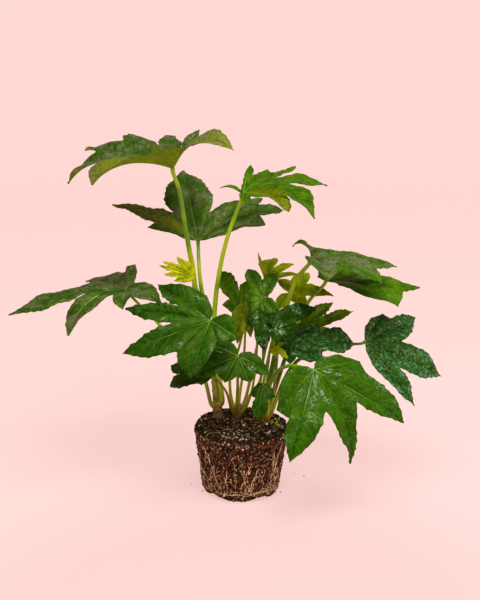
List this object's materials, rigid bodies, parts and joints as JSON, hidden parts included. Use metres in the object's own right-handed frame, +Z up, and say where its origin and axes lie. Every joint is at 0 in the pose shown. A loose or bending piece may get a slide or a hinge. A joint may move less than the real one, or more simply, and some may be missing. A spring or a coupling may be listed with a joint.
{
  "type": "fatsia japonica with a bare root ball",
  "caption": "Young upright foliage plant with large lobed, toothed leaves on slender stalks, standing on a bare tapered root ball that was moulded by a nursery pot.",
  "frame": {"origin": "middle of the flat patch under the root ball, where it rests", "axes": "+Z up along the root ball's axis, +X along the longest spread of leaves, to the right as seen in the picture, -Y towards the viewer"},
  "size_m": [0.5197, 0.2878, 0.444],
  "materials": {
    "soil": "dark moist peat with white perlite grains and pale fibres, matt",
    "roots": "tan to pale beige fine roots, matt",
    "stem": "olive green bark, woody grey-brown at the foot, satin",
    "stalk": "smooth yellow-green, satin",
    "leaf": "glossy dark green above with pale yellow-green veins, paler and matt below",
    "young_leaf": "bright yellow-green, satin"
  },
  "bodies": {
    "root": {"leaf_back_high": "leaf", "leaf_back_left": "leaf", "leaf_back_right": "leaf", "leaf_far_right": "leaf", "leaf_front_left": "leaf", "leaf_front_low": "leaf", "leaf_front_right": "leaf", "leaf_hanging": "leaf", "leaf_inner_dark": "leaf", "leaf_inner_glossy": "leaf", "leaf_left": "leaf", "leaf_low_front": "leaf", "leaf_low_inner": "leaf", "leaf_low_left": "leaf", "leaf_middle": "leaf", "leaf_right_back": "leaf", "leaf_right_high": "leaf", "leaf_right_inner": "leaf", "leaf_right_mid": "leaf", "leaf_top_left": "leaf", "leaf_top_middle": "leaf", "leaf_top_right": "leaf", "leaf_young": "young_leaf", "root_ball": "soil", "stalk_back_high": "stalk", "stalk_back_left": "stalk", "stalk_back_right": "stalk", "stalk_far_right": "stalk", "stalk_front_left": "stalk", "stalk_front_low": "stalk", "stalk_front_right": "stalk", "stalk_hanging": "stalk", "stalk_inner_dark": "stalk", "stalk_inner_glossy": "stalk", "stalk_left": "stalk", "stalk_low_front": "stalk", "stalk_low_inner": "stalk", "stalk_low_left": "stalk", "stalk_middle": "stalk", "stalk_right_back": "stalk", "stalk_right_high": "stalk", "stalk_right_inner": "stalk", "stalk_right_mid": "stalk", "stalk_top_left": "stalk", "stalk_top_middle": "stalk", "stalk_top_right": "stalk", "stalk_young": "young_leaf", "stem_left": "stem", "stem_middle": "stem", "stem_right": "stem", "surface_roots": "roots"}
  },
  "joints": []
}
